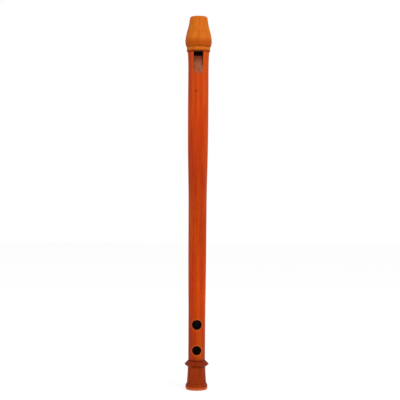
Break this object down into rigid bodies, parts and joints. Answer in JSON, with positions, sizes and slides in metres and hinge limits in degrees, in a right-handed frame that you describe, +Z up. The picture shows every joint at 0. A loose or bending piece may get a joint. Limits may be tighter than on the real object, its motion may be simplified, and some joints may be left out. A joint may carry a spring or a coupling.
{
  "type": "tabor pipe",
  "caption": "Slim wooden duct flute with a golden bulb-shaped mouthpiece cap, a window with a sloping labium, finger and thumb holes near the lower end, and a turned, ringed foot.",
  "frame": {"origin": "centre of the foot's end face, which the standing pipe rests on", "axes": "+Z up the bore towards the mouthpiece, -Y towards the window and the two finger holes, +Y towards the thumb hole, +X to the right of someone who looks at the window"},
  "size_m": [0.022, 0.022, 0.31],
  "materials": {
    "body_wood": "satin",
    "cap_wood": "satin",
    "block_wood": "matt",
    "foot_wood": "satin",
    "waxed_thread": "waxed"
  },
  "bodies": {
    "body": {"pipe_body": "body_wood", "head_tenon_lapping": "waxed_thread", "foot_tenon_lapping": "waxed_thread"},
    "cap": {"mouthpiece_cap": "cap_wood"},
    "block": {"fipple_block": "block_wood"},
    "foot": {"foot_joint": "foot_wood"}
  },
  "joints": [
    {"name": "cap_pull", "type": "slide", "parent": "body", "child": "cap", "axis": [0, 0, 1], "range_m": [0, 0.03]},
    {"name": "block_push", "type": "slide", "parent": "cap", "child": "block", "axis": [0, 0, 1], "range_m": [0, 0.03]},
    {"name": "foot_pull", "type": "slide", "parent": "body", "child": "foot", "axis": [0, 0, -1], "range_m": [0, 0.018]}
  ]
}
